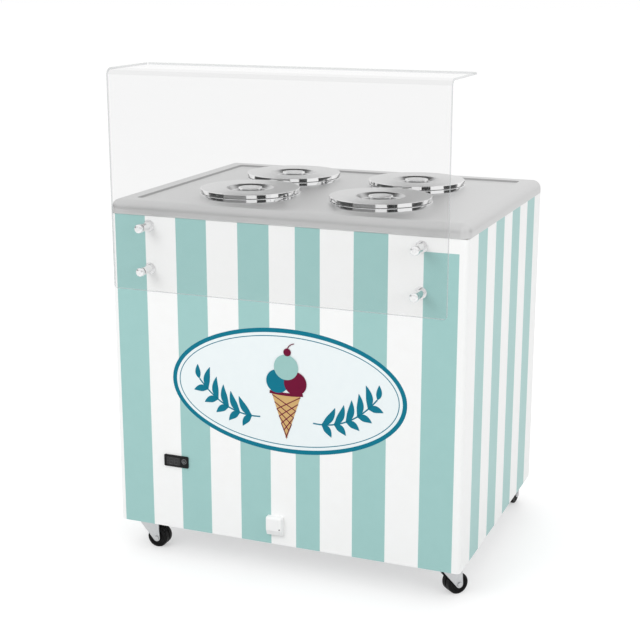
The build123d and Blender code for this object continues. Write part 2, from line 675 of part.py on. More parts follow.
def condenser():
    """Fin pack between two end plates, with hairpin bends at one end and two pipe stubs at the other."""
    x0 = COND_X - COND_W / 2
    mid = (COND_FRONT + COND_BACK) / 2
    top = COND_LOW + COND_H
    body = block(x0, COND_EDGE, COND_FRONT + 8, COND_BACK - 8, COND_LOW + 10, top - 6)
    pitch = (COND_W - 2 * COND_PLATE) / (COND_FINS + 1)
    for fin in range(1, COND_FINS + 1):
        x = x0 + COND_PLATE + fin * pitch
        body = body + block(x - FIN_T / 2, x + FIN_T / 2, COND_FRONT, COND_BACK, COND_LOW + 6, top - 2)
    for x in (x0, COND_EDGE - COND_PLATE):
        body = body + block(x, x + COND_PLATE, COND_FRONT, COND_BACK, COND_LOW, top)
    for n in range(HAIRPINS):
        z = COND_LOW + (COND_H - (HAIRPINS - 0.5) * HAIRPIN_PITCH) / 2 + n * HAIRPIN_PITCH
        far = x0 - HAIRPIN_REACH
        rise = z + HAIRPIN_PITCH / 2
        route = [(x0, mid, z), (far, mid, z), (far, mid, rise), (x0, mid, rise)]
        body = body + tube(route, [HAIRPIN_PITCH / 5] * 2, PIPE_R)
    for y, z in ((HOT_Y, HOT_Z), (LIQUID_Y, LIQUID_Z)):
        body = body + Pos(COND_EDGE, y, z) * Rot(0, 90, 0) * Cylinder(PIPE_R, STUB, align=ON_BASE)
    return body


def fan_shroud():
    """Plate over the condenser's face with a flanged air ring round the fan."""
    plate = block(COND_X - COND_W / 2, COND_EDGE, COND_FRONT - SHEET, COND_FRONT, COND_LOW,
                  COND_LOW + COND_H)
    ring = along_y(COND_X, FAN_Z, RING_R + SHEET, RING_FRONT, COND_FRONT)
    flange = along_y(COND_X, FAN_Z, RING_R + 9, RING_FRONT, RING_FRONT + SHEET)
    return plate + ring + flange - along_y(COND_X, FAN_Z, RING_R, RING_FRONT - 1, COND_FRONT + 1)


def fan_motor():
    """Ribbed motor on three bent arms that end on the air ring's flange."""
    motor = along_y(COND_X, FAN_Z, MOTOR_R, MOTOR_FRONT, MOTOR_BACK)
    motor = fillet(motor.edges().filter_by(GeomType.CIRCLE), 5)
    motor = motor + along_y(COND_X, FAN_Z, SHAFT_R, MOTOR_BACK - 1, FAN_MID + 10)
    level = MOTOR_BACK - 20
    reach = RING_R + 5
    for turn in (90, 210, 330):
        c = cos(radians(turn))
        s = sin(radians(turn))
        near = (COND_X + 30 * c, level, FAN_Z + 30 * s)
        knee = (COND_X + reach * c, level, FAN_Z + reach * s)
        end = (COND_X + reach * c, RING_FRONT, FAN_Z + reach * s)
        motor = motor + tube([near, knee, end], [PIPE_BEND_R / 2], MOTOR_ARM_R)
    return motor


def fan_blade():
    """Moulded fan: a hub with twisted blades, cut round at the tips."""
    inner = Plane(origin=(HUB_R - 6, 0, 0), x_dir=(0, 1, 0), z_dir=(1, 0, 0))
    outer = Plane(origin=(FAN_R + 6, 0, 0), x_dir=(0, 1, 0), z_dir=(1, 0, 0))
    root = inner * Rot(0, 0, 42) * Rectangle(26, 2.4)
    tip = outer * Rot(0, 0, 18) * Rectangle(60, 1.6)
    blade = loft([root, tip]) & Cylinder(FAN_R, 2 * FAN_W)
    fan = Cylinder(HUB_R, FAN_W)
    for n in range(FAN_BLADES):
        fan = fan + Rot(0, 0, n * 360 / FAN_BLADES) * blade
    fan = fan - Cylinder(SHAFT_R + RUN_FIT, 2 * FAN_W)
    return Pos(COND_X, FAN_MID, FAN_Z) * Rot(-90, 0, 0) * fan


def pump_shell(grow):
    """Hermetic shell: drawn cup below, dome above, welded seam flange between."""
    return turned([(0, PUMP_LOW + 6 - grow, 0), (PUMP_R - 14 + grow, PUMP_LOW + 6 - grow, 16),
                   (PUMP_R + grow, PUMP_LOW + 34, 10), (PUMP_R + grow, PUMP_SEAM - 4, 0),
                   (PUMP_R + 6 + grow, PUMP_SEAM - 4, 0), (PUMP_R + 6 + grow, PUMP_SEAM + 4, 0),
                   (PUMP_R - 2 + grow, PUMP_SEAM + 4, 0), (PUMP_R - 4 + grow, PUMP_TOP - 30, 24),
                   (PUMP_R - 44, PUMP_TOP + grow, 20), (0, PUMP_TOP + grow, 0)])


def compressor():
    """Sealed compressor on a pressed foot plate, with two pipe stubs on its dome."""
    span_x, span_y = PUMP_FEET
    outline = RectangleRounded(span_x + 2 * PUMP_FOOT_R, span_y + 2 * PUMP_FOOT_R, PUMP_FOOT_R)
    body = pump_shell(0) + Pos(0, 0, PUMP_LOW) * extrude(outline, 8)
    for x, y in (HOT_STUB, COLD_STUB):
        body = body + upright(x - PUMP_X, y - PUMP_Y, PIPE_R, PUMP_TOP - 60, PUMP_TOP + 14)
    return Pos(PUMP_X, PUMP_Y, 0) * body


def compressor_feet():
    waist = (TRAY_FLOOR + PUMP_LOW) / 2
    foot = turned([(0, TRAY_FLOOR, 0), (13, TRAY_FLOOR, 1), (10, waist, 2), (13, PUMP_LOW, 1),
                   (0, PUMP_LOW, 0)])
    return Compound([Pos(PUMP_X, PUMP_Y, 0) * place * foot for place in GridLocations(*PUMP_FEET, 2, 2)])


def terminal_box():
    """Cover over the compressor's terminals, shaped to the shell."""
    cover = block(-30, 30, -PUMP_R - 34, -PUMP_R + 14, PUMP_LOW + 16, PUMP_SEAM - 8)
    cover = fillet(cover.edges().filter_by(Axis.Z).group_by(Axis.Y)[0], 6)
    return Pos(PUMP_X, PUMP_Y, 0) * (cover - pump_shell(0.3))


def pipework():
    """Copper lines: hot gas to the condenser, liquid through the drier, suction from the bath."""
    stub_top = PUMP_TOP + 14
    cond_end = COND_EDGE + STUB
    hx, hy = HOT_STUB
    cx, cy = COLD_STUB
    bend = PIPE_BEND_R
    hot = tube([(hx, hy, stub_top), (hx, hy, stub_top + 45), (hx, HOT_Y, stub_top + 45),
                (hx, HOT_Y, HOT_Z), (cond_end, HOT_Y, HOT_Z)], [bend] * 3, PIPE_R)
    suction = tube([(cx, cy, stub_top), (cx, cy, stub_top + 60), (cx - 70, cy, stub_top + 60),
                    (cx - 70, cy, FOAM_LOW)], [bend] * 2, PIPE_R)
    lx = cond_end + 40
    drier_low = LIQUID_Z + 40
    drier_top = drier_low + DRIER_L
    liquid = tube([(cond_end, LIQUID_Y, LIQUID_Z), (lx, LIQUID_Y, LIQUID_Z), (lx, LIQUID_Y, drier_low)],
                  [bend], PIPE_R)
    drier = turned([(0, drier_low, 0), (PIPE_R, drier_low, 0), (DRIER_R, drier_low + 16, 6),
                    (DRIER_R, drier_top - 16, 6), (PIPE_R, drier_top, 0), (0, drier_top, 0)])
    riser = upright(lx, LIQUID_Y, PIPE_R, drier_top, FOAM_LOW)
    return Compound([hot, suction, liquid, Pos(lx, LIQUID_Y, 0) * drier, riser])


def cord_bush():
    """Low moulded bush in the rear panel where the supply lead would leave."""
    bore = BUSH_BORE_R
    neck = BUSH_R - BUSH_FIT
    bush = turned([(bore, -SHEET - 6, 0), (neck, -SHEET - 6, 1), (neck, 0, 0), (BUSH_R + 4, 0, 0),
                   (BUSH_R + 4, 3, 1.5), (bore + 2.5, BUSH_PROUD, 1), (bore, BUSH_PROUD, 0)])
    return Pos(BUSH_X, BACK, BUSH_Z) * Rot(-90, 0, 0) * bush


nodes = {
    "base_tray": base_tray(),
    "front_panel": front_panel(),
    "rear_panel": rear_panel(),
    "left_panel": side_panel(-1),
    "right_panel": side_panel(1),
    "corner_posts": corner_posts(),
    "worktop": worktop(),
    "foam_body": foam_body(),
    "bath_tank": bath_tank(),
    "evaporator_coil": evaporator_coil(),
    "guard_sheet": guard_sheet(),
    "guard_standoffs": guard_standoffs(),
    "guard_caps": guard_caps(),
    "thermostat_case": stat_case(),
    "thermostat_window": stat_window(),
    "thermostat_key": stat_key(),
    "drain_hood": drain_hood(),
    "drain_pipe": drain_pipe(),
    "caster_plates": caster_plates(),
    "compressor": compressor(),
    "compressor_feet": compressor_feet(),
    "terminal_box": terminal_box(),
    "condenser": condenser(),
    "fan_shroud": fan_shroud(),
    "fan_motor": fan_motor(),
    "fan_blade": fan_blade(),
    "pipework": pipework(),
    "cord_bush": cord_bush(),
}
well_solids = {"well": well(), "tub": tub(), "lid": lid(), "lid_seal": lid_seal(), "lid_knob": lid_knob()}
for name, (x, y) in well_places().items():
    for piece, solid in well_solids.items():
        nodes[f"{piece}_{name}"] = Pos(x, y, 0) * solid
caster_solids = {"caster_fork": caster_fork(), "caster_wheel": caster_wheel(), "caster_axle": caster_axle()}
for name in CORNERS:
    for piece, solid in caster_solids.items():
        nodes[f"{piece}_{name}"] = caster_place(name) * solid

for name, solid in nodes.items():
    export_step(solid, f"parts/{name}.step")
print(len(nodes), "nodes; front", FRONT, "back", BACK, "deck", DECK_Z, "lid top", LID_TOP)
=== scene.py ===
# %% [markdown]
# # A gelato cabinet, dressed
# The solids of the cabinet are the fixed frame: they give every place and size, and they carry the
# joints. This notebook gives each of them its finish, puts a finer sheet in the place of the clear guard,
# whose edges show every facet, and adds the films and small fixings that the solids leave out: the sign,
# the display's strokes, the key's print, the screws and the collars. Everything is in metres: X along the
# front, Y from the customer to the operator, Z up.

# %% Load the frame
from math import pi, radians

import bmesh
import bpy
import numpy as np
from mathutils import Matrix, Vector


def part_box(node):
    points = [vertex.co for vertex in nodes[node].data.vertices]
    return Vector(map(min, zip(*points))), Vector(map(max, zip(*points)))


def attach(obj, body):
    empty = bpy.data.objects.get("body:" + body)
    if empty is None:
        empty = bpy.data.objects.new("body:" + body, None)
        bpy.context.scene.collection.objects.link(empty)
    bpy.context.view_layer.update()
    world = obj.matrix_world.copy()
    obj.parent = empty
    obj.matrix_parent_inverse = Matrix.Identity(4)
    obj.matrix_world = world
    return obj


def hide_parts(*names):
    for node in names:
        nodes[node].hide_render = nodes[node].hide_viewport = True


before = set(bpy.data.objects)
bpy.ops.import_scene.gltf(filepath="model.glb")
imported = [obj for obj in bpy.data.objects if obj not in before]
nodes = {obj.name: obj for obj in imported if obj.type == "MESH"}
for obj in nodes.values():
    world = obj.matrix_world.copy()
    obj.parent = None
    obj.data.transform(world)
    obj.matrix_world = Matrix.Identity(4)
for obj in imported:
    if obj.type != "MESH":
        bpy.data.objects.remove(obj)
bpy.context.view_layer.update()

MM = 0.001
CORNERS = [f"{row}_{side}" for row in ("front", "rear") for side in ("left", "right")]

# %% [markdown]
# ## The view
# The camera stands where the photographer stood: a little to the right of the front, above the worktop,
# with a long lens. The place and the turn come from the perspective of the panel's and the worktop's
# edges. The picture is square and its middle is the lens's axis, so no shift is needed.

# %% Camera
LENS = 76.48
EYE = (1.15345, -2.94421, 1.36158)
EYE_TURN = (radians(75.34), 0.0, radians(21.88))

camera = bpy.data.objects.new("camera", bpy.data.cameras.new("camera"))
camera.data.lens = LENS
camera.data.sensor_width = 36.0
camera.location = EYE
camera.rotation_euler = EYE_TURN
bpy.context.scene.collection.objects.link(camera)
bpy.context.scene.camera = camera
bpy.context.scene.view_settings.view_transform = "Standard"
print("camera at", EYE, "lens", LENS)

# %% [markdown]
# ## Writing shaders as sums
# A finish is a small network of nodes. Wiring them one by one hides the idea, so a socket is wrapped
# in a class whose operators add the Math nodes: `1 - mask` reads as what it does.


# %% Socket values
class Value:
    """A node's output; Python's operators on it add Math nodes."""

    def __init__(self, finish, socket):
        self.finish = finish
        self.socket = socket

    def math(self, operation, *operands):
        """Math node with an operation on values or numbers."""
        return self.finish.node("ShaderNodeMath", {"operation": operation}, dict(enumerate(operands)))

    def __add__(self, other):
        return self.math("ADD", self, other)

    def __sub__(self, other):
        return self.math("SUBTRACT", self, other)

    def __rsub__(self, other):
        return self.math("SUBTRACT", other, self)

    def __mul__(self, other):
        return self.math("MULTIPLY", self, other)

    def __gt__(self, other):
        return self.math("GREATER_THAN", self, other)

    def __lt__(self, other):
        return self.math("LESS_THAN", self, other)

    def __abs__(self):
        return self.math("ABSOLUTE", self)

    def either(self, other):
        """1 where one of two masks is."""
        return self.math("MAXIMUM", self, other)

    __radd__ = __add__
    __rmul__ = __mul__


print("socket class ready")

# %% [markdown]
# ## Networks and finishes
# Every other node comes from one method, which sets the node's settings first and then its sockets. A
# finish is such a network with one Principled shader, and its methods give what most finishes need: the
# place of a point, cloudy noise, a mix of two colours and a relief.


# %% Networks and finishes
class Network:
    """A tree of shader nodes, with one method that makes every node."""

    def __init__(self, tree):
        self.tree = tree

    def node(self, kind, settings=None, sockets=None, output=0):
        """Make a node, set its settings, then fill or link its sockets; gives one output."""
        made = self.tree.nodes.new(kind)
        for name, value in (settings or {}).items():
            setattr(made, name, value)
        for name, value in (sockets or {}).items():
            if isinstance(value, Value):
                self.tree.links.new(value.socket, made.inputs[name])
            else:
                made.inputs[name].default_value = value
        return Value(self, made.outputs[output])

    def seen(self):
        """1 where the eye, a mirror or clear plastic looks, 0 where only light is gathered."""
        eye, mirror, glass = [self.node("ShaderNodeLightPath", output=f"Is {kind} Ray")
                              for kind in ("Camera", "Glossy", "Transmission")]
        return eye.either(mirror).either(glass)


class Finish(Network):
    """A material with one Principled shader: constants sit on its sockets, patterns feed them."""

    def __init__(self, name, **constants):
        self.material = bpy.data.materials.new(name)
        self.material.use_nodes = True
        super().__init__(self.material.node_tree)
        self.shader = self.tree.nodes["Principled BSDF"]
        for socket, value in constants.items():
            self.shader.inputs[socket.replace("_", " ")].default_value = value

    def feed(self, socket, value):
        """Link a value to a socket of the shader."""
        self.tree.links.new(value.socket, self.shader.inputs[socket])
        return self

    def place(self, axis):
        """One coordinate of the surface point in the piece's own frame, in metres."""
        point = self.node("ShaderNodeTexCoord", output="Object")
        return self.node("ShaderNodeSeparateXYZ", sockets={0: point}, output=axis)

    def noise(self, scale, detail=2.0, stretch=(1, 1, 1)):
        """Cloudy noise from 0 to 1; scale is in waves per metre, stretch multiplies it by axis."""
        point = self.node("ShaderNodeTexCoord", output="Object")
        spread = self.node("ShaderNodeMapping", sockets={"Vector": point, "Scale": stretch})
        return self.node("ShaderNodeTexNoise", sockets={"Vector": spread, "Scale": scale, "Detail": detail})

    def mix(self, share, first, second):
        """Colour between two colours, by share."""
        return self.node("ShaderNodeMix", {"data_type": "RGBA"}, {0: share, 6: first, 7: second}, 2)

    def relief(self, height, depth, strength=1.0):
        """Bump from a height of 0 to 1 that stands for a depth in metres."""
        sockets = {"Height": height, "Distance": depth, "Strength": strength}
        return self.feed("Normal", self.node("ShaderNodeBump", sockets=sockets))


def tone(red, green, blue):
    """Linear colour from the 0 to 255 values that a picture shows: the usual screen curve undone."""
    shown = np.array([red, green, blue]) / 255
    linear = np.where(shown <= 0.04045, shown / 12.92, ((shown + 0.055) / 1.055) ** 2.4)
    return (*linear.tolist(), 1.0)


print("finish class ready")

# %% [markdown]
# ## Surfaces from formulas
# Every new piece is a grid of points: a profile turned round an axis, a profile carried along a
# bent path, or a flat patch with two rows. The grid is worked out as whole arrays, put into a mesh in one
# go, and welded where seams and poles meet.


# %% Grids
def grid_faces(rows, columns, wrap_rows=False, wrap_columns=False):
    """Quads between neighbours of a grid: the corners are (i, j), (i+1, j), (i+1, j+1), (i, j+1)."""
    i = np.arange(rows if wrap_rows else rows - 1)[:, None]
    j = np.arange(columns if wrap_columns else columns - 1)[None, :]
    below = (i + 1) % rows
    beside = (j + 1) % columns
    corners = (i * columns + j, below * columns + j, below * columns + beside, i * columns + beside)
    return np.stack(np.broadcast_arrays(*corners), axis=-1).reshape(-1, 4)


def surface(points, wrap_rows=False, wrap_columns=False):
    """A (rows, columns, 3) array of points and its faces."""
    rows, columns = points.shape[:2]
    return points.reshape(-1, 3), grid_faces(rows, columns, wrap_rows, wrap_columns)


print("grid helpers ready")

# %% [markdown]
# ## Profiles
# A turned or bent piece starts as a profile. Real edges are never quite sharp, and a Bevel modifier would
# round all of them alike, so each corner of a profile has a rounding of its own.


# %% Rounded profiles and turning
def rounded(outline, closed=False, steps=6, brace=0.15 * MM):
    """Profile through (a, b, rounding) corners.

    A corner is cut where its rounding touches the two sides, and an arc joins the touching points;
    one more point on each side, a brace away, keeps the flat stretches flat when shaded.
    """
    corners = np.array([(a, b) for a, b, _ in outline], float)
    last = len(corners) - 1
    profile = []
    for k, (corner, (_, _, radius)) in enumerate(zip(corners, outline)):
        if radius == 0 or (not closed and k in (0, last)):
            profile.append(corner[None])
            continue
        to_before = corners[k - 1] - corner
        to_after = corners[(k + 1) % len(corners)] - corner
        before = to_before / np.linalg.norm(to_before)
        after = to_after / np.linalg.norm(to_after)
        half = np.arccos(np.clip(before @ after, -1, 1)) / 2
        cut = radius / np.tan(half)
        middle = (before + after) / np.linalg.norm(before + after)
        centre = corner + middle * radius / np.sin(half)
        start = corner + before * cut - centre
        end = corner + after * cut - centre
        turn = np.arctan2(start[0] * end[1] - start[1] * end[0], start @ end)
        angle = np.linspace(0, turn, steps + 1)[:, None]
        square = np.array([-start[1], start[0]])
        arc = centre + start * np.cos(angle) + square * np.sin(angle)
        profile.append(np.vstack([arc[:1] + before * brace, arc, arc[-1:] + after * brace]))
    return np.vstack(profile)


def lathe(profile, origin, axis=(0, 0, 1), steps=96, closed=False):
    """Profile of (radius, height) turned about an axis: point = origin + radius * spoke + height * axis."""
    along = np.array(Vector(axis).normalized())
    first = np.array(Vector(along).orthogonal().normalized())
    second = np.cross(along, first)
    angle = np.linspace(0, 2 * pi, steps, endpoint=False)[None, :, None]
    spoke = np.cos(angle) * first + np.sin(angle) * second
    radius = profile[:, 0, None, None]
    height = profile[:, 1, None, None]
    return surface(np.array(origin) + radius * spoke + height * along, closed, wrap_columns=True)


print("profile helpers ready")

# %% [markdown]
# ## Pieces
# Several surfaces make one object. Its points are welded, its faces turned outwards, and edges sharper
# than an angle stay sharp. It sits at the origin with its place in its mesh, as the solids do, and it is
# told which body carries it and which material slot it belongs to.

# %% Pieces
WELD = 1e-6
SLIVER = 1e-7


def piece(name, surfaces, finish, body, stands_for=(), sharp=35, gauge=0.0):
    """One object at the origin from several surfaces: welded, facing outwards, riding on a body.

    A flat sheet that faces the customer is given its gauge by a copy of it behind it and a wall between.
    """
    counts = np.cumsum([0] + [len(points) for points, _ in surfaces])
    points = np.vstack([points for points, _ in surfaces])
    faces = np.vstack([faces + start for (_, faces), start in zip(surfaces, counts)])
    mesh = bpy.data.meshes.new(name)
    mesh.from_pydata(points, [], faces.tolist())
    shell = bmesh.new()
    shell.from_mesh(mesh)
    bmesh.ops.remove_doubles(shell, verts=shell.verts, dist=WELD)
    bmesh.ops.dissolve_degenerate(shell, edges=shell.edges, dist=SLIVER)
    if gauge:
        grown = bmesh.ops.extrude_face_region(shell, geom=shell.faces[:], use_keep_orig=True)
        behind = [part for part in grown["geom"] if isinstance(part, bmesh.types.BMVert)]
        bmesh.ops.translate(shell, verts=behind, vec=(0, gauge, 0))
    bmesh.ops.recalc_face_normals(shell, faces=shell.faces)
    shell.to_mesh(mesh)
    shell.free()
    mesh.shade_smooth()
    mesh.set_sharp_from_angle(angle=radians(sharp))
    made = bpy.data.objects.new(name, mesh)
    bpy.context.scene.collection.objects.link(made)
    mesh.materials.append(finish.material)
    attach(made, body)
    if stands_for:
        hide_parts(*stands_for)
    print(f"{name}: {len(mesh.polygons)} faces on {body}")
    return made


print("piece helper ready")

# %% [markdown]
# ## The studio
# The cabinet stands on a plain pale floor in front of a white sweep. Their white could come from strong
# lamps, but these would wash out the object. So the world is pure white, and the floor glows, only where
# the eye, a mirror or clear plastic looks, and the light on the object stays at a plain level.

# %% World and floor
SKY_LIGHT = 0.9
FLOOR_SPAN = 80.0
FLOOR_GLOW = 0.44
MIRRORED_GLOW = 0.8
FLOOR_GREYS = (0.59, 0.61)

world = bpy.data.worlds.new("white_sweep")
world.use_nodes = True
bpy.context.scene.world = world
sweep = Network(world.node_tree)
background = world.node_tree.nodes["Background"]
background.inputs["Color"].default_value = (1, 1, 1, 1)
level = SKY_LIGHT + (1 - SKY_LIGHT) * sweep.seen()
sweep.tree.links.new(level.socket, background.inputs["Strength"])

floor_finish = Finish("pale_floor", Roughness=0.9, Emission_Strength=FLOOR_GLOW)
mirrored = floor_finish.node("ShaderNodeLightPath", output="Is Glossy Ray")
glow = floor_finish.seen() * (1 - (1 - MIRRORED_GLOW) * mirrored)
floor_finish.feed("Emission Color", floor_finish.mix(glow, (0, 0, 0, 1), (1, 1, 1, 1)))
greys = [(grey, grey, grey, 1) for grey in FLOOR_GREYS]
floor_finish.feed("Base Color", floor_finish.mix(floor_finish.noise(3.0), *greys))


def stage_sheet(name, corners, finish):
    """A flat four-cornered sheet that belongs to the studio."""
    mesh = bpy.data.meshes.new(name)
    mesh.from_pydata(corners, [], [(0, 1, 2, 3)])
    mesh.materials.append(finish.material)
    made = bpy.data.objects.new(name, mesh)
    bpy.context.scene.collection.objects.link(made)
    return made


half = FLOOR_SPAN / 2
stage_sheet("floor", [(-half, -half, 0), (half, -half, 0), (half, half, 0), (-half, half, 0)], floor_finish)
print("floor of", FLOOR_SPAN, "m and a sky light of", SKY_LIGHT)

# %% [markdown]
# ## Lamps
# Three large soft lamps light the cabinet: the key from the front left, a weaker fill from the right and
# one from behind. Mirrors don't see them, because bright squares in the polished lids would draw the eye.

# %% Soft lamps
AIM = (0, 0, 0.6)
LAMPS = {
    "key_lamp": ((-1.3, -3.0, 2.5), (1.8, 1.8), 33),
    "fill_lamp": ((3.0, -1.2, 1.9), (1.6, 2.2), 17),
    "rear_lamp": ((-0.6, 3.2, 2.4), (2.4, 1.2), 22),
}


def softbox(name, place, aim, size, power):
    """A rectangular lamp at a place, turned to face a point and unseen by mirrors."""
    lamp = bpy.data.lights.new(name, "AREA")
    lamp.shape = "RECTANGLE"
    lamp.size, lamp.size_y = size
    lamp.energy = power
    made = bpy.data.objects.new(name, lamp)
    made.location = place
    made.rotation_euler = (Vector(aim) - Vector(place)).to_track_quat("-Z", "Y").to_euler()
    made.visible_glossy = False
    bpy.context.scene.collection.objects.link(made)


for name, (place, size, power) in LAMPS.items():
    softbox(name, place, AIM, size, power)
print(len(LAMPS), "lamps")

# %% [markdown]
# ## Flags and cards
# White all round would make polished steel look like paper, so grey flags stand round the cabinet and a
# small dark card hangs over each lid, as a product photographer sets them. Only mirrors see them: a flag
# is a strip of cloth between two bearings, counted from the camera's own.

# %% Flags and cards
FLAG_REACH = 2.5
BAND_HEIGHTS = (0.85, 1.3)
FLAGS = {"near_flag": (13, 34, 0.03), "far_flag": (-60, -10, 0.32), "side_flag": (66, 110, 0.06),
         "left_flag": (-112, -60, 0.05)}
CARD_HALF = 75 * MM
CARD_LIFT = 75 * MM
CARD_GREY = 0.035
eye_bearing = np.degrees(np.arctan2(EYE[1], EYE[0]))


def cloth(name, grey):
    """Woven cloth, a little uneven round a grey."""
    finish = Finish(name, Roughness=1.0)
    threads = [(share * grey, share * grey, share * grey, 1) for share in (0.8, 1.2)]
    return finish.feed("Base Color", finish.mix(finish.noise(60), *threads))


def mirror_only(sheet):
    """Leave a sheet to mirrors alone: neither the eye nor the light meets it."""
    sheet.visible_camera = False
    sheet.visible_diffuse = False
    sheet.visible_transmission = False
    sheet.visible_shadow = False


low, high = BAND_HEIGHTS
for name, (start, end, grey) in FLAGS.items():
    bearings = np.radians([eye_bearing + start, eye_bearing + end])
    foot = FLAG_REACH * np.stack([np.cos(bearings), np.sin(bearings)], axis=1)
    corners = [(*foot[0], low), (*foot[1], low), (*foot[1], high), (*foot[0], high)]
    mirror_only(stage_sheet(name, corners, cloth(f"{name}_cloth", grey)))
card_cloth = cloth("card_cloth", CARD_GREY)
for name in CORNERS:
    lid_low, lid_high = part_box(f"lid_{name}")
    middle = (lid_low + lid_high) / 2
    card = [(middle.x + x * CARD_HALF, middle.y + y * CARD_HALF, lid_high.z + CARD_LIFT)
            for x, y in ((-1, -1), (1, -1), (1, 1), (-1, 1))]
    mirror_only(stage_sheet(f"card_over_{name}", card, card_cloth))
print(len(FLAGS), "flags and", len(CORNERS), "cards over the lids")

# %% [markdown]
# ## The striped wrap
# The body panels are coated sheet with a printed film over them: broad teal stripes on white. The
# stripes could be strips of mesh, but a print has no thickness to speak of, so they are bands of the
# object's own X on the front and of its own Y on the sides. A film is never quite flat or quite even:
# a faint orange peel and a slight mottle of the ink keep it from looking like a flat fill.

# %% Striped film and plain white coat
TEAL = tone(161, 203, 200)
TEAL_DEEP = tone(156, 199, 196)
FILM_WHITE = tone(249, 250, 250)
FILM_WARM = tone(246, 246, 245)
FRONT_STRIPES = [(-407, -330.5), (-254, -178.4), (-102.4, -27.5), (34, 92), (169.2, 246.5), (324.5, 401)]
BARE_CORNER = (300 * MM, 786 * MM)
SIDE_STRIPE_FIRST = 76.5 * MM
SIDE_STRIPE_PITCH = 144.3 * MM
SIDE_STRIPE_WIDTH = 72.5 * MM
SIDE_STRIPES = 4
PEEL_PER_METRE = 320

body_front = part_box("front_panel")[0].y


def coated_sheet(name, stripes=(), axis="X", bare=None):
    """White film or paint with teal bands along an axis, bare of teal beyond a corner in X and Z."""
    finish = Finish(name, IOR=1.46)
    mottle = finish.noise(38, detail=4)
    colour = finish.mix(mottle, FILM_WHITE, FILM_WARM)
    if stripes:
        across = finish.place(axis)
        ink = sum((across > low) * (across < high) for low, high in stripes)
        if bare:
            ink = ink * (1 - (finish.place("X") > bare[0]) * (finish.place("Z") > bare[1]))
        colour = finish.mix(ink, colour, finish.mix(mottle, TEAL, TEAL_DEEP))
    finish.feed("Base Color", colour)
    finish.feed("Roughness", 0.28 + 0.1 * finish.noise(11, detail=3))
    return finish.relief(finish.noise(PEEL_PER_METRE), 0.06 * MM, 0.35)


def dress(finish, *names):
    """Give solids of the frame a finish."""
    for name in names:
        for slot in nodes[name].material_slots:
            slot.material = finish.material
    print(finish.material.name, "on", ", ".join(names))


side_starts = body_front + SIDE_STRIPE_FIRST + SIDE_STRIPE_PITCH * np.arange(SIDE_STRIPES)
side_stripes = [(start, start + SIDE_STRIPE_WIDTH) for start in side_starts.tolist()]
front_stripes = [(low * MM, high * MM) for low, high in FRONT_STRIPES]
dress(coated_sheet("striped_front_film", front_stripes, "X", BARE_CORNER), "front_panel")
dress(coated_sheet("striped_side_film", side_stripes, "Y"), "left_panel", "right_panel")
dress(coated_sheet("white_coat"), "rear_panel", "corner_posts")

# %% [markdown]
# ## Metals
# Satin stainless is a metal whose grain runs one way: noise drawn out along X breaks up the roughness
# and tilts the surface by a hair. Polished stainless is the same metal with little roughness and a few
# wiping marks. Zinc plating is duller and shows the crystals of the bath as cells of two greys. Pictures
# of metal would need unwrapped solids, so all three are worked out from the point itself.

# %% Metal finishes
STEEL = tone(219, 219, 219)
STEEL_SHADE = tone(212, 212, 212)
MIRROR_STEEL = tone(244, 244, 244)
MIRROR_SHADE = tone(236, 236, 237)
# Tone of the painted shade on the worktop's crease.
CREASE_SHADE = tone(166, 166, 166)
BRUSHED_ALONG_X = (0.02, 1, 1)
WIPED_UPRIGHT = (1, 1, 0.3)


def satin_steel(name, low=0.40, high=0.54, painted_crease_mask=None):
    """Brushed stainless with streaks along X; a mask, where one is given, darkens what it marks with painted
    shade.
    """
    finish = Finish(name, Metallic=1.0)
    streak = finish.noise(700, detail=3, stretch=BRUSHED_ALONG_X)
    colour = finish.mix(streak, STEEL_SHADE, STEEL)
    if painted_crease_mask:
        colour = finish.mix(painted_crease_mask(finish), colour, CREASE_SHADE)
    finish.feed("Base Color", colour)
    finish.feed("Roughness", low + (high - low) * streak)
    return finish.relief(streak, 0.02 * MM, 0.25)


def polished_steel(name, low=0.04, high=0.1):
    """Mirror stainless with faint wiping marks."""
    finish = Finish(name, Metallic=1.0)
    wipes = finish.noise(22, detail=4, stretch=WIPED_UPRIGHT)
    finish.feed("Base Color", finish.mix(wipes, MIRROR_STEEL, MIRROR_SHADE))
    finish.feed("Roughness", low + (high - low) * wipes)
    return finish


def zinc_plate(name, light=tone(208, 209, 210), dark=tone(199, 200, 202), cells=160):
    """Zinc: crystal cells of two greys, each with its own dullness."""
    finish = Finish(name, Metallic=1.0)
    point = finish.node("ShaderNodeTexCoord", output="Object")
    crystal = finish.node("ShaderNodeTexVoronoi", sockets={"Vector": point, "Scale": cells}, output="Color")
    share = finish.node("ShaderNodeSeparateColor", sockets={0: crystal})
    finish.feed("Base Color", finish.mix(share, dark, light))
    finish.feed("Roughness", 0.3 + 0.2 * share)
    return finish.relief(finish.noise(500), 0.02 * MM, 0.3)


satin = satin_steel("satin_steel")
polished = polished_steel("polished_steel")
zinc = zinc_plate("zinc_plate")
copper = zinc_plate("drawn_copper", tone(214, 152, 118), tone(190, 124, 92), 90)
fins = zinc_plate("fin_aluminium", tone(206, 208, 211), tone(188, 190, 194), 120)
print("two steels, zinc, copper and aluminium")

# %% [markdown]
# ## Plastics, rubber, enamel and foam
# Moulded plastics are dark or pale with a fine grain from the mould, and rubber, enamel and foam differ
# from them only in tone, dullness and grain, so one function gives them all.


# %% Moulded finishes
def moulded(name, first, second, low=0.4, high=0.6, grain=900, depth=0.03 * MM, shine=0.5):
    """Moulded plastic, rubber, enamel or foam: two close tones and a fine grain."""
    finish = Finish(name, Specular_IOR_Level=shine)
    speckle = finish.noise(grain)
    finish.feed("Base Color", finish.mix(finish.noise(40, detail=3), first, second))
    finish.feed("Roughness", low + (high - low) * speckle)
    return finish.relief(speckle, depth, 0.4)


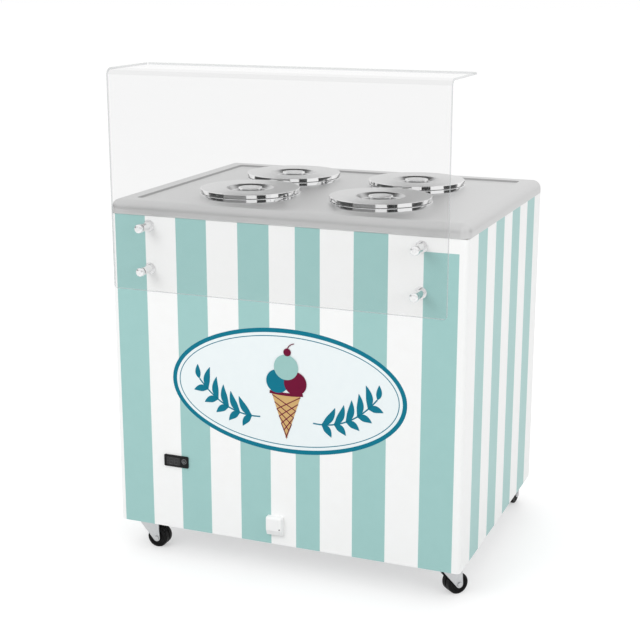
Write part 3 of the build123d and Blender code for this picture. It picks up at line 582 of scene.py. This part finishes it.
black_plastic = moulded("black_plastic", tone(13, 13, 14), tone(19, 19, 20), shine=0.2)
tread = moulded("tread_rubber", tone(10, 10, 10), tone(15, 15, 16), 0.35, 0.5, 700, 0.05 * MM, 0.15)
white_plastic = moulded("white_plastic", tone(247, 247, 247), tone(242, 242, 242), 0.3, 0.4)
key_grey = moulded("key_grey", tone(48, 48, 50), tone(42, 42, 44), 0.35, 0.5)
seal_rubber = moulded("seal_rubber", tone(38, 38, 39), tone(30, 30, 31), 0.6, 0.8)
foam = moulded("insulating_foam", tone(240, 224, 180), tone(228, 208, 158), 0.7, 0.9, 260, 0.3 * MM)
# Black enamel: the own coat of the compressor and fan motor, and painted shade on the caster plates.
black_enamel_and_plate_shade = moulded("black_enamel_and_plate_shade", tone(26, 26, 27), tone(20, 20, 21), 0.25, 0.4, 200, 0.05 * MM)
fan_plastic = moulded("fan_plastic", tone(120, 122, 124), tone(108, 110, 112), 0.4, 0.55)
print("eight moulded finishes")

# %% [markdown]
# ## Tray, thermostat, hood and cold machine
# The solids of these pieces are already whole, so they only get their finishes. The cold machine stands
# behind the panels and is seen through the louvres and slots.

# %% Tray, thermostat, hood and cold machine
dress(zinc, "base_tray", "fan_shroud")
dress(satin, "bath_tank")
dress(black_plastic, "thermostat_case", "terminal_box", "cord_bush")
dress(white_plastic, "drain_hood", "drain_pipe")
dress(key_grey, "thermostat_key")
dress(foam, "foam_body")
dress(copper, "evaporator_coil", "pipework")
# The caster plates are given the black enamel so that they show as the dark line under the panel's edge:
# painted shade.
dress(black_enamel_and_plate_shade, "compressor", "fan_motor", "caster_plates")
dress(seal_rubber, "compressor_feet")
dress(fins, "condenser")
dress(fan_plastic, "fan_blade")

# %% [markdown]
# ## Worktop, wells, lids and tubs
# The worktop is one pressing of satin stainless; its solid already has the rolled edge and the crease, so
# it needs only its finish, with painted shade that darkens the slope of the crease. A lid is satin on
# its flat top, where the buffing wheel leaves fine rings, and mirror-bright on its band and in its dish.
# One finish does both: the distance from the nearest well's axis, worked out from the point itself, picks
# the dull or the bright steel.

# %% Lid, collar and worktop finishes
well_middles = [(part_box(f"well_{name}")[0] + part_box(f"well_{name}")[1]) / 2 for name in CORNERS]
WELL_X = max(middle.x for middle in well_middles)
WELL_MID_Y = sum(middle.y for middle in well_middles) / len(well_middles)
WELL_Y = max(middle.y for middle in well_middles) - WELL_MID_Y
LID_RIM = 113.5 * MM
DISH_RIM = 46.5 * MM
KNOB_RIM = 25.0 * MM
RINGS_PER_METRE = 900
BORDER = 22 * MM
CREASE_BROW = 0.2 * MM
CREASE_FOOT = 3.8 * MM


def well_distance(finish):
    """Distance from the nearest well's axis: the well grid folded into one quarter by absolute values."""
    across = abs(finish.place("X")) - WELL_X
    along = abs(finish.place("Y") - WELL_MID_Y) - WELL_Y
    square = across * across + along * along
    return square.math("SQRT", square)


def buffed_lid(name):
    """Satin rings on the flat top, mirror on the band and in the dish."""
    finish = Finish(name, Metallic=1.0)
    reach = well_distance(finish)
    flat = (reach > DISH_RIM) * (reach < LID_RIM) + (reach < KNOB_RIM)
    rings = finish.node("ShaderNodeTexNoise", {"noise_dimensions": "1D"},
                        {"W": reach, "Scale": RINGS_PER_METRE, "Detail": 2.0})
    wipes = finish.noise(22, detail=4)
    finish.feed("Base Color", finish.mix(flat, MIRROR_STEEL, STEEL))
    finish.feed("Roughness", 0.05 + 0.05 * wipes + flat * (0.2 + 0.12 * rings))
    return finish.relief(rings * flat, 0.02 * MM, 0.3)


def deck_painted_shade_mask(finish):
    """Mask of painted shade: 1 on the slope between the raised border and the deck, which lies inside the
    rolled edge.
    """
    low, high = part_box("worktop")
    height = finish.place("Z")
    slope = (height > high.z - CREASE_FOOT) * (height < high.z - CREASE_BROW)
    inside = (abs(finish.place("X")) < high.x - BORDER) * (finish.place("Y") > low.y + BORDER)
    return slope * inside * (finish.place("Y") < high.y - BORDER)


buffed = buffed_lid("buffed_lid")
# Painted shade darkens the slope of the worktop's crease.
dress(satin_steel("worktop_painted_crease", painted_crease_mask=deck_painted_shade_mask), "worktop")
dress(satin, *[f"tub_{name}" for name in CORNERS])
dress(polished, *[f"well_{name}" for name in CORNERS])
dress(buffed, *[f"{part}_{name}" for part in ("lid", "lid_knob") for name in CORNERS])
dress(seal_rubber, *[f"lid_seal_{name}" for name in CORNERS])

# %% [markdown]
# ## The clear guard
# The guard is one sheet of 5 mm acrylic, bent hot over a bar, with flame-polished edges and rounded
# corners. A plane with a thickness modifier would leave its edges square, so the sheet is one grid: a
# rounded slot-shaped loop, as wide as the sheet and as thick, is carried along the bent path and drawn in
# at both ends.

# %% Shape of the guard
GUARD_THICK = 5 * MM
GUARD_BEND = 14 * MM
GUARD_CORNER = 8 * MM
POLISHED_EDGE = 1.2 * MM
BEND_POINTS = 25
CORNER_POINTS = 13


def bent_path(low, high):
    """Middle line of the sheet in Y and Z with its outward normals: a rise, a quarter bend, a shelf."""
    wall = low.y + GUARD_THICK / 2
    shelf = high.z - GUARD_THICK / 2
    turn = np.linspace(0, pi / 2, BEND_POINTS)
    bend = np.stack([wall + GUARD_BEND * (1 - np.cos(turn)), shelf - GUARD_BEND * (1 - np.sin(turn))], axis=1)
    near = np.concatenate([np.linspace(0, GUARD_CORNER, CORNER_POINTS), [3 * GUARD_CORNER]])
    rise = np.stack([np.full_like(near, wall), low.z + near], axis=1)
    run = np.stack([high.y - near[::-1], np.full_like(near, shelf)], axis=1)
    normals = np.stack([-np.cos(turn), np.sin(turn)], axis=1)
    ends = [np.repeat(normals[[end]], len(near), 0) for end in (0, -1)]
    outward = np.vstack([ends[0], normals, ends[1]])
    return np.vstack([rise, bend, run]), outward


def bent_sheet(low, high):
    """Loop (x, depth) carried along the path: point = path + depth * normal, x drawn in at the corners.

    Near an end the half-width falls by r - sqrt(r^2 - (r - d)^2), with d the distance from the end, and
    the depth falls in the same way with the radius of the polished edge. A last row without depth closes
    the sheet at each end.
    """
    path, outward = bent_path(low, high)
    half = (high.x - low.x) / 2
    edge = POLISHED_EDGE
    loop = rounded([(-half, -GUARD_THICK / 2, edge), (half, -GUARD_THICK / 2, edge),
                    (half, GUARD_THICK / 2, edge), (-half, GUARD_THICK / 2, edge)], closed=True, steps=5)
    steps = np.linalg.norm(np.diff(path, axis=0), axis=1)
    run = np.concatenate([[0], np.cumsum(steps)])
    end = np.minimum(run, run[-1] - run)
    inside = np.clip(GUARD_CORNER - end, 0, GUARD_CORNER)
    width = half - GUARD_CORNER + np.sqrt(GUARD_CORNER ** 2 - inside ** 2)
    thin = np.clip(edge - end, 0, edge)
    depth = GUARD_THICK / 2 - edge + np.sqrt(edge ** 2 - thin ** 2)
    rows = [0, *range(len(path)), -1]
    path, outward, width, depth = path[rows], outward[rows], width[rows], depth[rows]
    depth[[0, -1]] = 0
    x = loop[None, :, 0] * (width / half)[:, None]
    lift = loop[None, :, 1] * (depth / (GUARD_THICK / 2))[:, None]
    y = path[:, None, 0] + lift * outward[:, None, 0]
    z = path[:, None, 1] + lift * outward[:, None, 1]
    return surface(np.stack([x, y, z], axis=-1), wrap_columns=True)


guard_low, guard_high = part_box("guard_sheet")
guard_surface = bent_sheet(guard_low, guard_high)
print("guard grid of", len(guard_surface[0]), "points")

# %% [markdown]
# ## Clear plastic
# A refracting shader would need many bounces in so thin a sheet and would leave its edges black, so the
# sheet is mostly transparent with a faint veil. A paler, denser veil on the cut edges is a painted highlight,
# and a denser veil on the bend is a painted reflection. Such a sheet throws hardly any
# shadow, so it keeps out of the light's way.

# %% Guard sheet
HIGHLIGHT_BAND_WIDTH = 1.5 * MM
# The veil is denser on the edges as a painted highlight and on the bend as a painted reflection.
VEIL, EDGE_HIGHLIGHT_VEIL, BEND_REFLECTION_VEIL = 0.05, 0.4, 0.04
VEIL_TONE = tone(74, 76, 77)
# The edges' paler tone is a painted highlight.
EDGE_HIGHLIGHT_TONE = tone(186, 190, 191)


def clear_sheet(name, low, high):
    """Clear plastic: a faint veil over what lies behind it, denser with a painted highlight on the edges and
    a painted reflection on the bend.
    """
    finish = Finish(name, Roughness=0.04, IOR=1.49)
    side = abs(finish.place("X")) > high.x - HIGHLIGHT_BAND_WIDTH
    foot = finish.place("Z") < low.z + HIGHLIGHT_BAND_WIDTH
    tail = finish.place("Y") > high.y - HIGHLIGHT_BAND_WIDTH
    # Masks of the painted highlight on the edges and the painted reflection on the bend.
    edge = side.either(foot).either(tail)
    bend = (finish.place("Z") > high.z - GUARD_BEND) * (finish.place("Y") < low.y + GUARD_BEND)
    finish.feed("Base Color", finish.mix(edge, VEIL_TONE, EDGE_HIGHLIGHT_TONE))
    return finish.feed("Alpha", VEIL + EDGE_HIGHLIGHT_VEIL * edge + BEND_REFLECTION_VEIL * bend)


acrylic = clear_sheet("clear_acrylic", guard_low, guard_high)
pane = piece("guard_pane", [guard_surface], acrylic, "cabinet", ["guard_sheet"], sharp=60)
pane.visible_shadow = False
pane.visible_diffuse = False

# %% [markdown]
# ## Stand-offs, thermostat window and casters
# The stand-offs and their caps are turned and chromed, the caps a little duller. The window is smoked
# plastic over the display. The forks are zinc-plated pressings and the wheels are moulded in black. Their
# solids have all their forms, so a finish is all that they need.

# %% Remaining finishes
smoked = moulded("smoked_window", tone(14, 14, 16), tone(18, 18, 20), 0.08, 0.16, 300, 0.005 * MM)
dress(polished, "guard_standoffs")
dress(polished_steel("silky_chrome", 0.2, 0.28), "guard_caps")
dress(smoked, "thermostat_window")
dress(zinc, *[f"caster_{part}_{name}" for part in ("fork", "axle") for name in CORNERS])
dress(tread, *[f"caster_wheel_{name}" for name in CORNERS])

# %% [markdown]
# ## The oval sign
# A cabinet of this kind carries an oval sign on its front, cut from coloured vinyl. This one shows a cone
# between two sprays of leaves. It could be painted in the panel's shader, but layers of film catch the
# light at their edges and can be changed one by one, so each colour is a set of flat patches. A patch is
# a grid of two rows in the plane of the sign, in millimetres from its middle, and each layer lies a
# fraction of a millimetre before the one behind it.

# %% Patches
LEAF_FULLNESS = 0.9


def oval(outer, inner, steps=240):
    """Band between two ovals: (a cos t, b sin t), in two rows."""
    turn = np.linspace(0, 2 * pi, steps + 1)
    spoke = np.stack([np.cos(turn), np.sin(turn)], axis=1)
    return np.stack([spoke * outer, spoke * inner])


def disc(middle, radius, steps=48):
    """Round patch: an oval band that ends in its middle."""
    return oval((radius, radius), (0, 0), steps) + np.array(middle)


def bowed(handles, s):
    """Points, directions and square directions of a parabola with three handles, at shares s of it.

    point = (1 - s)^2 first + 2 s (1 - s) middle + s^2 last, and the direction is its slope in s.
    """
    first, middle, last = np.array(handles, float)
    s = np.asarray(s)[:, None]
    points = (1 - s) ** 2 * first + 2 * s * (1 - s) * middle + s ** 2 * last
    along = (1 - s) * (middle - first) + s * (last - middle)
    along = along / np.linalg.norm(along, axis=1)[:, None]
    return points, along, np.stack([-along[:, 1], along[:, 0]], axis=1)


def ribbon(start, bend, end, width, belly=0.0, steps=24):
    """Bowed strip: its width is constant, or swells between the ends as a power of sin(pi s)."""
    s = np.linspace(0, 1, steps)
    line, _, square = bowed((start, bend, end), s)
    half = (width + belly * np.sin(pi * s) ** LEAF_FULLNESS)[:, None] / 2
    return np.stack([line + square * half, line - square * half])


def straight(start, end, width):
    """Straight strip."""
    return ribbon(start, (np.array(start) + end) / 2, end, width, steps=2)


print("patch helpers ready")

# %% [markdown]
# ## Film and its colours
# Cut vinyl is a smooth plastic of an even colour with a faint orange peel. A sheet of it lies on a plane
# that faces the customer, and it has a thin gauge, so that its cut edge is there to catch the light.

# %% Film and its colours
FILM_STEP = 0.12 * MM
FILM_GAUGE = 0.1 * MM


def film(name, patches, finish, plane, middle, layer, body="cabinet"):
    """Patches in millimetres laid on a plane that faces the customer, so many film layers before it."""
    surfaces = []
    for patch in patches:
        flat = np.asarray(patch) * MM
        before = np.full(flat.shape[:2], plane - layer * FILM_STEP)
        spread = np.stack([middle[0] * MM + flat[..., 0], before, middle[1] * MM + flat[..., 1]], axis=-1)
        surfaces.append(surface(spread))
    return piece(name, surfaces, finish, body, gauge=FILM_GAUGE)


def vinyl(name, first, second):
    """Cut vinyl: an even colour with a faint orange peel."""
    return moulded(name, first, second, 0.3, 0.38, PEEL_PER_METRE, 0.02 * MM, 0.15)


vinyl_pale = vinyl("vinyl_pale", tone(240, 247, 248), tone(236, 244, 246))
vinyl_teal = vinyl("vinyl_teal", tone(3, 120, 143), tone(2, 114, 138))
vinyl_wine = vinyl("vinyl_wine", tone(114, 4, 51), tone(106, 3, 47))
vinyl_mint = vinyl("vinyl_mint", tone(160, 201, 197), tone(154, 196, 192))
vinyl_wafer = vinyl("vinyl_wafer", tone(214, 178, 120), tone(206, 168, 110))
print("five colours of film")

# %% [markdown]
# ## The cone
# The cone stands in the middle of the sign. The lattice of its wafer is two sets of strips, which fall from
# one edge to the other. Each set will be a layer of its own, because faces that cross in one plane would
# hide each other by chance.

# %% Cone and lattice
CONE_TOP, CONE_TIP, CONE_HALF = -4.0, -112.0, 36.0
LATTICE_SHARES = np.linspace(0.06, 0.66, 5)
LATTICE_FALL = 0.3
LATTICE_W = 2.2


def cone_edge(share, side):
    """Point on the cone's left (-1) or right (1) edge, share of the way down."""
    return np.array([side * CONE_HALF * (1 - share), CONE_TOP + (CONE_TIP - CONE_TOP) * share])


def strips(side):
    """Strips of the wafer's lattice that fall from one edge of the cone to the other."""
    return [straight(cone_edge(share, side), cone_edge(share + LATTICE_FALL, -side), LATTICE_W)
            for share in LATTICE_SHARES]


wafer = np.stack([[cone_edge(0, -1), cone_edge(0, 1)], [cone_edge(1, -1), cone_edge(1, 1)]])
print("wafer with", 2 * len(LATTICE_SHARES), "strips")

# %% [markdown]
# ## The sprays
# A stem bends outwards on each side of the cone, leaves sit in pairs along it and a bud ends it. Each leaf
# could be set by eye, but one that is worked out from the stem's own direction stays right when the stem is
# bent anew. The two sides are the same leaves, mirrored in the sign's upright axis.

# %% Stems and leaves
STEM = np.array([(64, -66), (150, -74), (214, 6)], float)
STEM_W = 3.2
BUD = STEM[2] + np.array([(0, 0), (6, 12), (4, 34)])
BUD_W = 13
LEAF_SHARES = (0.12, 0.3, 0.48, 0.66, 0.84)
LEAF_SIDES = ((1, 54), (-1, 36))
LEAF_TIP = (0.62, 0.78)
LEAF_BEND = (0.385, 0.14)
LEAF_W = 16


def spray(side):
    """Stem of one side and its leaves, in pairs of a hand and a reach.

    A leaf's bend and tip are shares of its reach, along the stem and across it, counted from its foot.
    """
    mirror = (side, 1)
    leaves = [ribbon(*(BUD * mirror), 0.0, BUD_W)]
    for foot, ahead, up in zip(*bowed(STEM, LEAF_SHARES)):
        for hand, reach in LEAF_SIDES:
            bend, tip = [foot + (along * ahead + across * hand * up) * reach
                         for along, across in (LEAF_BEND, LEAF_TIP)]
            leaves.append(ribbon(*(np.array([foot + hand * up, bend, tip]) * mirror), 0.0, LEAF_W))
    return ribbon(*(STEM * mirror), STEM_W), leaves


stems, leaves = zip(spray(-1), spray(1))
print(len(stems), "stems with", len(leaves[0]) + len(leaves[1]), "leaves and buds")

# %% [markdown]
# ## Laying the film
# The ground is a pale oval with a broad rim and a fine inner line. The list runs from the panel outwards:
# each entry is one layer of film, and it covers what lies behind it.

# %% Layers of the sign
SIGN_MIDDLE = (12, 445)
RIM = np.array([282.0, 144.0])
RIM_W = 10
LINE_INSET, LINE_W = 17, 2
LINE = RIM - LINE_INSET
LAYERS = [
    ("sign_ground", [oval(RIM, 0 * RIM)], vinyl_pale),
    ("sign_rim", [oval(RIM, RIM - RIM_W), oval(LINE, LINE - LINE_W)], vinyl_teal),
    ("sign_stems", stems, vinyl_teal),
    ("sign_leaves", [*leaves[0], *leaves[1]], vinyl_teal),
    ("sign_wafer", [wafer], vinyl_wafer),
    ("sign_lattice_left", strips(-1), vinyl_wine),
    ("sign_lattice_right", strips(1), vinyl_wine),
    ("sign_cone_band", [ribbon((-40, -4), (0, -9), (40, -4), 7)], vinyl_wine),
    ("sign_scoop_left", [disc((-21, 22), 27)], vinyl_teal),
    ("sign_scoop_right", [disc((22, 21), 27)], vinyl_wine),
    ("sign_scoop_top", [disc((0, 56), 29)], vinyl_mint),
    ("sign_cherry", [disc((3, 91), 9)], vinyl_wine),
    ("sign_stalk", [ribbon((3, 98), (8, 110), (20, 112), 2)], vinyl_wine),
]
sign_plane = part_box("front_panel")[0].y
for layer, (name, patches, finish) in enumerate(LAYERS, 1):
    film(name, patches, finish, sign_plane, SIGN_MIDDLE, layer)

# %% [markdown]
# ## The display
# The thermostat shows its reading through the smoked window. Its lamps are off, so the strokes are only a
# little paler than the window. Each stroke is a six-cornered patch, and a figure is seven of them. A
# picture on the window could show them too, but patches stay sharp from close by.

# %% Unlit figures
FIGURE_W, FIGURE_H, STROKE, SLANT = 8.6, 14.4, 1.4, 0.1
STROKE_GAP = 0.3
FIGURES_AT = (-5.0, 7.8)
MINUS_AT = (-13.8, 0)
MINUS_HALF = 2.2
unlit = moulded("unlit_strokes", tone(58, 58, 60), tone(50, 50, 52), 0.2, 0.3, 300, 0.002 * MM)


def stroke(middle, half_length, upright):
    """Six-cornered stroke: four stations along it, the end ones without width."""
    stations = np.array([-half_length, -half_length + STROKE / 2, half_length - STROKE / 2, half_length])
    half = np.array([0, STROKE / 2, STROKE / 2, 0])
    rows = np.stack([np.stack([stations, half], axis=1), np.stack([stations, -half], axis=1)])
    rows = rows[..., ::-1] if upright else rows
    return rows + np.array(middle)


def figure(offset):
    """Seven strokes of one figure, leaning a little: three level ones and four upright ones."""
    level = [stroke((0, y), FIGURE_W / 2 - STROKE_GAP, False) for y in (-FIGURE_H / 2, 0, FIGURE_H / 2)]
    upright = [stroke((x, y), FIGURE_H / 4 - STROKE_GAP, True)
               for x in (-FIGURE_W / 2, FIGURE_W / 2) for y in (-FIGURE_H / 4, FIGURE_H / 4)]
    lean = np.array([[1, 0], [SLANT, 1]])
    return [patch @ lean + (offset, 0) for patch in level + upright]


def face_middle(low, high):
    """Middle of a box's front face, in X and Z, in millimetres."""
    return [(low[axis] + high[axis]) / 2 / MM for axis in (0, 2)]


window_low, window_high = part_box("thermostat_window")
strokes = [stroke(MINUS_AT, MINUS_HALF, False)]
for offset in FIGURES_AT:
    strokes += figure(offset)
film("display_strokes", strokes, unlit, window_low.y, face_middle(window_low, window_high), 1)

# %% [markdown]
# ## Print on and round the key
# A pale ring is printed on the case round the key, and the usual on and off sign on the key's own face,
# which moves with it. Both are thin bands of film. The sign's ring is open at the top, where its bar is.

# %% Key ring and mark
RING_STEPS = 64
KEY_RING = (6.0, 5.2)
MARK_RING = (2.6, 2.0)
MARK_OPENING = 12
MARK_BAR = ((0, 0.4), (0, 3.0), 0.7)
QUARTER_TURN = np.array([[0, 1], [-1, 0]])
print_grey = moulded("print_grey", tone(150, 150, 152), tone(142, 142, 144), 0.35, 0.45, 600, 0.002 * MM)


def ring(outer, inner):
    """Band between two circles."""
    return oval((outer, outer), (inner, inner), RING_STEPS)


key_low, key_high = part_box("thermostat_key")
key_middle = face_middle(key_low, key_high)
case_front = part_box("thermostat_case")[0].y
film("key_ring", [ring(*KEY_RING)], print_grey, case_front, key_middle, 1)
open_ring = ring(*MARK_RING)[:, MARK_OPENING:-MARK_OPENING] @ QUARTER_TURN
film("key_mark", [open_ring, straight(*MARK_BAR)], print_grey, key_low.y, key_middle, 1, "key")

# %% [markdown]
# ## Screws
# Screws hold the rear panel all round, and a small one holds the hood. A head is a turned shape, so it is a
# profile carried round an axis: a low dome, with a round socket where the driver goes in.

# %% Screws
SCREW_HEAD = (5 * MM, 2.2 * MM)
SCREW_INSET = 14 * MM
SCREW_END = 30 * MM
SCREWS_UP, SCREWS_ALONG = 4, 5
HOOD_HEAD = (1.6 * MM, 0.6 * MM)
HOOD_SCREW_IN = 5 * MM
HOOD_SCREW_UP = 16 * MM
HEAD_SEAT = 0.3 * MM
DOME_TURN = 1.25
SOCKET_FLOOR = 0.45
dark_steel = zinc_plate("dark_steel", tone(92, 92, 94), tone(72, 72, 74), 400)


def button_head(radius, rise):
    """Half profile of a low domed head with a round socket: (radius cos t, rise sin t), then the socket."""
    turn = np.linspace(0, DOME_TURN, 9)
    dome = np.stack([radius * np.cos(turn), rise * np.sin(turn)], axis=1)
    brim, top = dome[-1]
    socket = np.array([(brim, top * SOCKET_FLOOR), (0, top * SOCKET_FLOOR)])
    return np.vstack([[(0, -HEAD_SEAT), (radius, -HEAD_SEAT)], dome, socket])


rear_low, rear_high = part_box("rear_panel")
rear_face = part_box("corner_posts")[1].y
screw_x = np.linspace(rear_low.x + SCREW_INSET, rear_high.x - SCREW_INSET, SCREWS_ALONG)
screw_z = np.linspace(rear_low.z + SCREW_END, rear_high.z - SCREW_END, SCREWS_UP)
screw_places = [(x, rear_face, z) for x in (screw_x[0], screw_x[-1]) for z in screw_z]
screw_places += [(x, rear_face, z) for x in screw_x[1:-1]
                 for z in (rear_low.z + SCREW_INSET, rear_high.z - SCREW_INSET)]
heads = [lathe(button_head(*SCREW_HEAD), place, (0, 1, 0), steps=32) for place in screw_places]
piece("rear_screws", heads, zinc, "cabinet")
hood_low, hood_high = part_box("drain_hood")
hood_place = (hood_high.x - HOOD_SCREW_IN, hood_low.y, hood_low.z + HOOD_SCREW_UP)
hood_head = lathe(button_head(*HOOD_HEAD), hood_place, (0, -1, 0), steps=24)
piece("hood_screw", [hood_head], dark_steel, "cabinet")

# %% [markdown]
# ## Collars of the stand-offs
# A thin collar stands round the foot of each stand-off, where it meets the panel. It is turned as well, from
# a closed profile with one rounded corner that catches the light.

# %% Stand-off collars
COLLAR_IN = 8.6 * MM
COLLAR_OUT = 13 * MM
COLLAR_RISE = 2.4 * MM
COLLAR_ROUND = 1 * MM
POST_R = 9 * MM
collar = rounded([(COLLAR_IN, 0, 0), (COLLAR_OUT, 0, 0), (COLLAR_OUT, COLLAR_RISE, COLLAR_ROUND),
                  (COLLAR_IN, COLLAR_RISE, 0)], closed=True)
post_low, post_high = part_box("guard_standoffs")
feet = [(x, sign_plane, z) for x in (post_low.x + POST_R, post_high.x - POST_R)
        for z in (post_low.z + POST_R, post_high.z - POST_R)]
collars = [lathe(collar, foot, (0, -1, 0), steps=64, closed=True) for foot in feet]
piece("standoff_collars", collars, polished, "cabinet")
